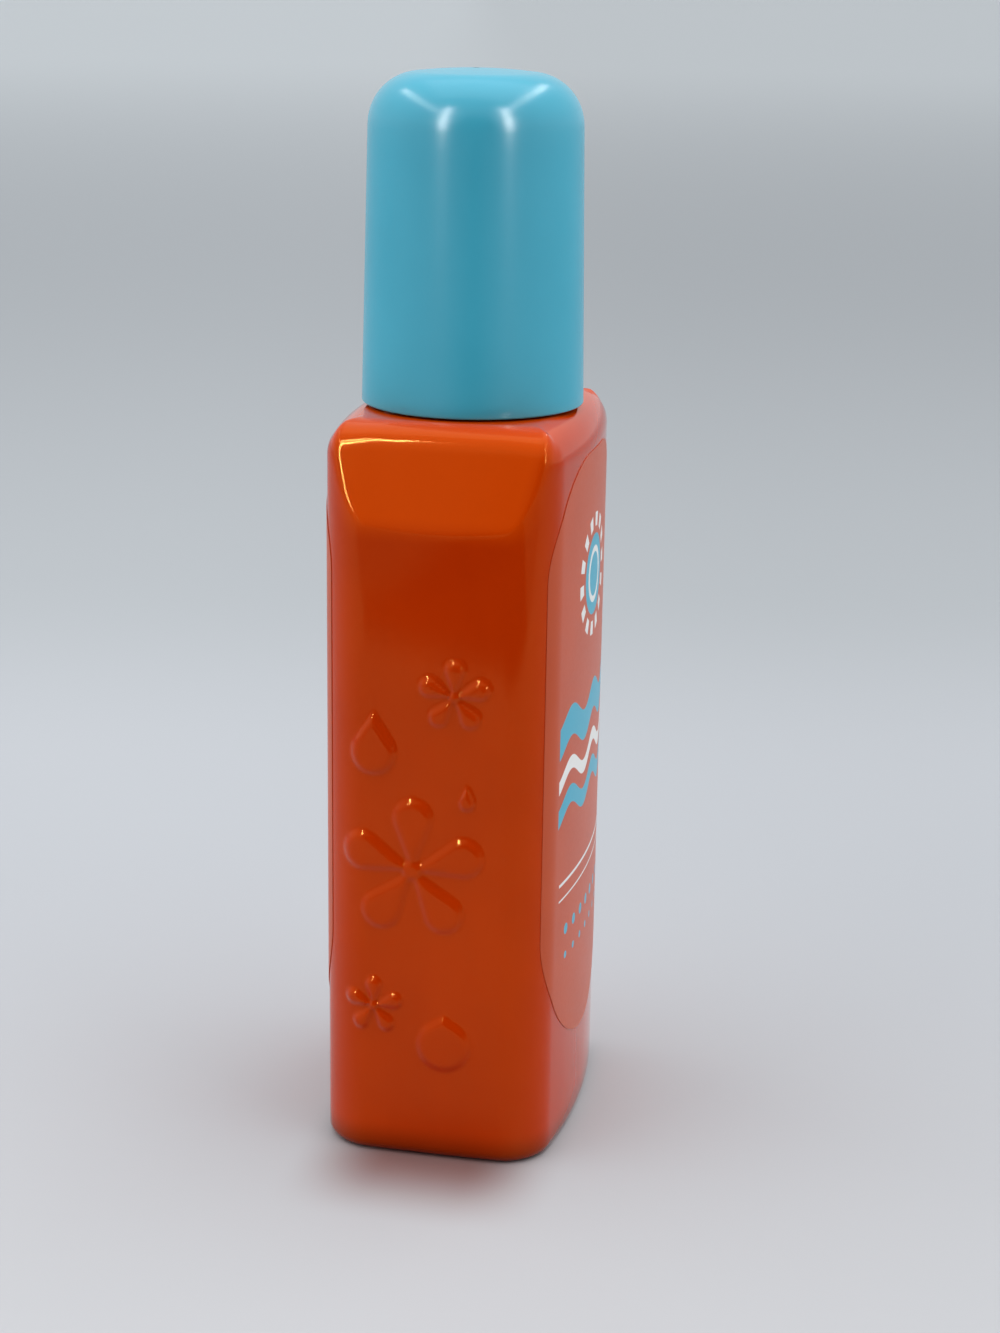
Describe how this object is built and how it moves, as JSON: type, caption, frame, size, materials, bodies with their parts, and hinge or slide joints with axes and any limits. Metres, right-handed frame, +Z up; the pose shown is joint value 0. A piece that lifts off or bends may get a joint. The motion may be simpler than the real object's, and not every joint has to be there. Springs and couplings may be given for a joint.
{
  "type": "sunscreen spray bottle",
  "caption": "Squared spray bottle with sloping shoulders and raised flowers on its narrow sides, a screw-on mist pump and a tall round pull-off overcap.",
  "frame": {"origin": "centre of the base, on the plane that the bottle stands on", "axes": "+Z up along the neck; -Y towards the front label and the nozzle; +X and -X towards the narrow sides with the raised flowers"},
  "size_m": [0.0512, 0.0392, 0.1657],
  "materials": {
    "bottle": "glossy orange, blow moulded",
    "label": "satin printed film",
    "cap": "glossy aqua, injection moulded",
    "pump": "white, smooth",
    "gasket": "soft, matt",
    "tube": "milky, translucent",
    "spring": "drawn stainless wire",
    "ball": "polished stainless steel"
  },
  "bodies": {
    "bottle": {"bottle_body": "bottle", "front_label": "label", "back_label": "label"},
    "pump": {"neck_gasket": "gasket", "pump_housing": "pump", "stem_guide": "pump", "stem_seal": "gasket", "return_spring": "spring", "spring_seat": "pump", "dip_tube": "tube"},
    "collar": {"screw_collar": "pump"},
    "piston": {"piston_seal": "gasket"},
    "head": {"pump_stem": "pump", "actuator_button": "pump", "nozzle_insert": "pump"},
    "ball": {"inlet_ball": "ball"},
    "cap": {"overcap": "cap"}
  },
  "joints": [
    {"name": "pump_lift", "type": "slide", "parent": "bottle", "child": "pump", "axis": [0, 0, 1], "range_m": [0, 0.00476]},
    {"name": "collar_turn", "type": "hinge", "parent": "pump", "child": "collar", "pos_m": [0, 0, 0.126], "axis": [0, 0, 1], "range_deg": [0, 541]},
    {"name": "cap_pull", "type": "slide", "parent": "collar", "child": "cap", "axis": [0, 0, 1], "range_m": [0, 0.06]},
    {"name": "head_press", "type": "slide", "parent": "pump", "child": "piston", "axis": [0, 0, -1], "range_m": [0, 0.0045], "stiffness_N_per_m": 900, "springref_m": -0.003, "deforming": ["return_spring"]},
    {"name": "head_swivel", "type": "hinge", "parent": "piston", "child": "head", "pos_m": [0, 0, 0.14], "axis": [0, 0, 1], "continuous": true},
    {"name": "ball_lift", "type": "slide", "parent": "pump", "child": "ball", "axis": [0, 0, 1], "range_m": [0, 0.0009]}
  ],
  "couplings": [
    {"joint": "collar_turn", "follows": "pump_lift", "rad_per_m": 1979}
  ]
}
